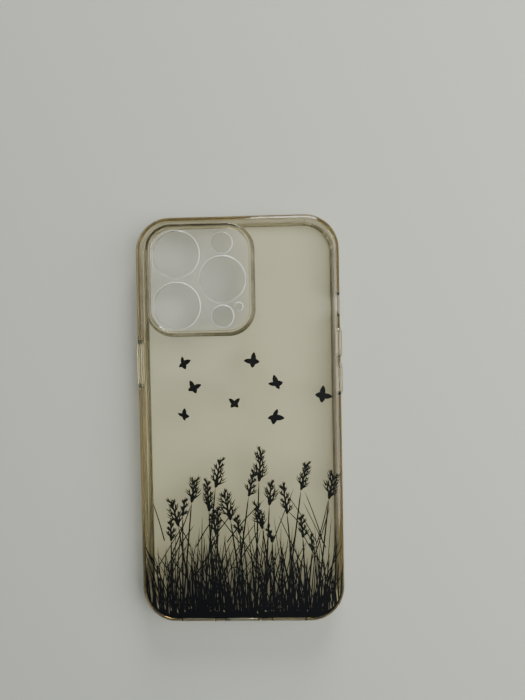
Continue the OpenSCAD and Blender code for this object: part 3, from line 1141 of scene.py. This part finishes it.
    def build(self, finish: bpy.types.Material) -> bpy.types.Object:
        """Build the whole meadow as thin solids of ink laid on the back.

        Args:
            finish: The ink.

        Returns:
            The piece.
        """
        draw = np.random.default_rng(self.seed)
        strips = [self.ground(), *self.stubble(draw), *self.stems(draw)]
        for head in self.seed_heads():
            strips.extend(self.seed_head(head, draw))
        points, faces = self.field_.solid(strips)
        piece = new_piece("ink_meadow", points, faces, "shell", ["meadow_print"], finish)
        piece.data.set_sharp_from_angle(angle=math.radians(35))
        return piece


class WingPose(Enum):
    """How a butterfly is seen: each wing is (angle from its head, length, width, bend) in wing spans."""

    SPREAD = ((52, 0.6, 0.36, -0.06), (-52, 0.6, 0.36, 0.06),
              (130, 0.44, 0.36, 0.04), (-130, 0.44, 0.36, -0.04))
    TILTED = ((52, 0.6, 0.36, -0.06), (-30, 0.5, 0.26, 0.03),
              (130, 0.44, 0.36, 0.04), (-150, 0.38, 0.26, -0.03))


@dataclass(frozen=True)
class Butterfly:
    """Printed butterfly: its number sets its place on a flattened spiral, its span, turn and pose."""

    number: int
    spiral_middle: tuple[float, float] = (1.0, 10.0)
    spiral_reach: tuple[float, float] = (11.6, 5.6)
    first_way: float = math.radians(250)

    @property
    def middle(self) -> np.ndarray:
        """Middle of the butterfly: spiral middle + reach * sqrt(i + 0.5) * (cos, sin) of its way."""
        i = self.number - 1
        way = self.first_way + GOLDEN_TURN * i
        return np.array(self.spiral_middle) + math.sqrt(i + 0.5) * np.array(
            [self.spiral_reach[0] * math.cos(way), self.spiral_reach[1] * math.sin(way)])

    @property
    def span(self) -> float:
        """Wing span."""
        return 4.4 + 2 * share(self.number - 1, 1)

    @property
    def turn(self) -> float:
        """Turn in degrees, positive to the left."""
        return 60 * math.sin(math.radians(100 * (self.number - 1)))

    @property
    def pose(self) -> WingPose:
        """Odd ones are seen from above, and even ones tilted."""
        return WingPose.SPREAD if self.number % 2 else WingPose.TILTED

    def wing(self, angle: float, length: float, width: float, bend: float) -> np.ndarray:
        """One pointed wing, broad from the body on: half width is w / 1.2 * (s + 0.12)^0.4 * (1 - s)^0.5.

        Args:
            angle: Direction from the head's, in degrees.
            length: Length in spans.
            width: Width in spans.
            bend: Sideways carry of the tip in spans.

        Returns:
            Plan points, (1, rows, columns, 2).
        """
        rows, columns = 14, 7
        s = np.linspace(0, 1, rows)
        turn = math.radians(angle - self.turn)
        forward = np.array([math.sin(turn), math.cos(turn)])
        sideways = np.array([math.cos(turn), -math.sin(turn)])
        half = width * self.span / 1.2 * (s + 0.12) ** 0.4 * np.maximum(1 - s, 0.01) ** 0.5
        across = np.linspace(-1, 1, columns)
        line = self.middle + self.span * (length * s[:, None] * forward + bend * s[:, None] ** 2 * sideways)
        scallop = 1 + 0.07 * np.cos(across * 3 * math.pi) * s[:, None] ** 2
        points = line[:, None] + (half[:, None] * across)[..., None] * sideways
        points = points + ((scallop - 1) * length * self.span)[..., None] * forward
        return points[None]

    def build(self, field_: InkField, finish: bpy.types.Material) -> bpy.types.Object:
        """Build the butterfly from four wings, a slim body and two feelers.

        Args:
            field_: The printable area.
            finish: The ink.

        Returns:
            The piece.
        """
        strips = [self.wing(*wing) for wing in self.pose.value]
        middle = self.middle
        down = math.radians(-self.turn)
        ahead = np.array([math.sin(down), math.cos(down)])
        strips.append(ribbons(
            (middle - ahead * 0.3 * self.span)[None], np.array([-self.turn]), np.array([0.52 * self.span]),
            np.zeros(1), np.array([0.15 * self.span]), 10, 5, 0.9, 0))
        strips.append(ribbons(
            np.repeat((middle + ahead * 0.14 * self.span)[None], 2, axis=0),
            np.array([-22.0, 22.0]) - self.turn, np.full(2, 0.22 * self.span),
            np.array([-0.03, 0.03]) * self.span, np.full(2, 0.15), 6, 3, 0, 0.1))
        points, faces = field_.solid(strips)
        piece = new_piece(f"ink_butterfly_{self.number}", points, faces, "shell",
                          [f"butterfly_print_{self.number}"], finish)
        piece.data.set_sharp_from_angle(angle=math.radians(35))
        return piece


# ---------------------------------------------------------------- stage


@dataclass(frozen=True)
class Stage:
    """Floor, three soft lights, and the camera nearly straight above. The lens and sensor are in mm."""

    lens: float = 27.12
    camera_at: tuple[float, float, float] = (14.46, 29.23, 202.73)
    camera_turn: tuple[float, float, float] = (-1.071, 1.638, -1.107)
    sensor: float = 36.0

    def build(self) -> None:
        """Make the floor, the lights and the camera."""
        bpy.ops.mesh.primitive_plane_add(size=8.0, location=(0, 0, -0.00005))
        floor = bpy.context.object
        floor.name = "floor"
        floor.data.materials.append(StudioPaper("pale_matt_paper").material())
        self.softbox("window_softbox", (0.2, 1.1, 0.35), 0.5, 14.0, "#fffdf6")
        self.softbox("side_softbox", (0.45, 0.05, 0.42), 0.6, 3.9, "#fffdf6")
        self.softbox("ceiling_softbox", (0.1, 0.1, 1.2), 1.0, 3.0, "#f6f9ff")
        world = bpy.data.worlds.new("soft_studio")
        world.use_nodes = True
        shade = world.node_tree.nodes["Background"]
        shade.inputs["Color"].default_value = linear("#eef1f2")
        shade.inputs["Strength"].default_value = 0.1
        bpy.context.scene.world = world
        camera = bpy.data.objects.new("camera", bpy.data.cameras.new("camera"))
        bpy.context.scene.collection.objects.link(camera)
        camera.location = Vector(self.camera_at) * MM
        camera.rotation_euler = [math.radians(turn) for turn in self.camera_turn]
        camera.data.sensor_width = self.sensor
        camera.data.lens = self.lens
        camera.data.clip_start = 0.01
        bpy.context.scene.camera = camera

    def softbox(self, name: str, place: tuple[float, float, float], size: float, power: float,
                colour: str) -> None:
        """Add one square soft light that faces the case."""
        lamp = bpy.data.lights.new(name, "AREA")
        lamp.size = size
        lamp.energy = power
        lamp.color = linear(colour)[:3]
        light = bpy.data.objects.new(name, lamp)
        bpy.context.scene.collection.objects.link(light)
        light.location = place
        light.rotation_euler = (-Vector(place)).to_track_quat("-Z", "Y").to_euler()


# ---------------------------------------------------------------- all together


def main() -> None:
    """Build every piece, the stage and the camera."""
    logging.basicConfig(level=logging.INFO, format="%(name)s: %(message)s")
    form = ShellForm()
    housing = CameraHousing(form)
    back_tpu = ClearPolyurethane("moulded_clear_polyurethane").material()
    plate_tpu = ClearPolyurethane("moulded_clear_polyurethane_plate", (6.0, 24.0, 115.0)).material()
    guard_tpu = ClearPolyurethane("moulded_clear_polyurethane_guard", (8.0, 22.0, 80.0)).material()
    edge_tpu = ClearPolyurethane("yellowed_clear_polyurethane", (26.0, 50.0, 120.0)).material()
    key_tpu = ClearPolyurethane("satin_clear_polyurethane", (12.0, 30.0, 100.0), roughness=0.08).material()
    ink = PrintedInk("cured_black_ink").material()

    covers = [
        KeyCover("clear_power_key_cover", "power_key_cover", "power_key_web", "power_key", form),
        KeyCover("clear_volume_up_cover", "volume_up_cover", "volume_up_web", "volume_up_key", form),
        KeyCover("clear_volume_down_cover", "volume_down_cover", "volume_down_web", "volume_down_key", form),
    ]
    key_z = (form.lip_t + form.seat_z) / 2
    windows = [cover.window() for cover in covers]
    # the switch opening, the port, and a slot on each side of the port
    windows.append(Window(Stadium(8.8, 5.0), 42.1, key_z, 0.4))
    windows.append(Window(Stadium(13.6, 5.4), 0.0, key_z, 0.4, on_end=True))
    windows.extend(Window(Stadium(13.0, 2.6), side * 17.0, key_z, 0.25, on_end=True) for side in (-1, 1))

    BackPanel(form, housing.pocket).build(back_tpu)
    BumperFrame(form, windows).build(edge_tpu)
    housing.build_guard(guard_tpu)
    housing.build_plate(plate_tpu)
    for cover in covers:
        cover.build(key_tpu)
        cover.build_web(key_tpu)

    field_ = InkField(form)
    Meadow(field_).build(ink)
    for number in range(1, BUTTERFLY_COUNT + 1):
        Butterfly(number).build(field_, ink)

    Stage().build()


if __name__ == "__main__":
    main()
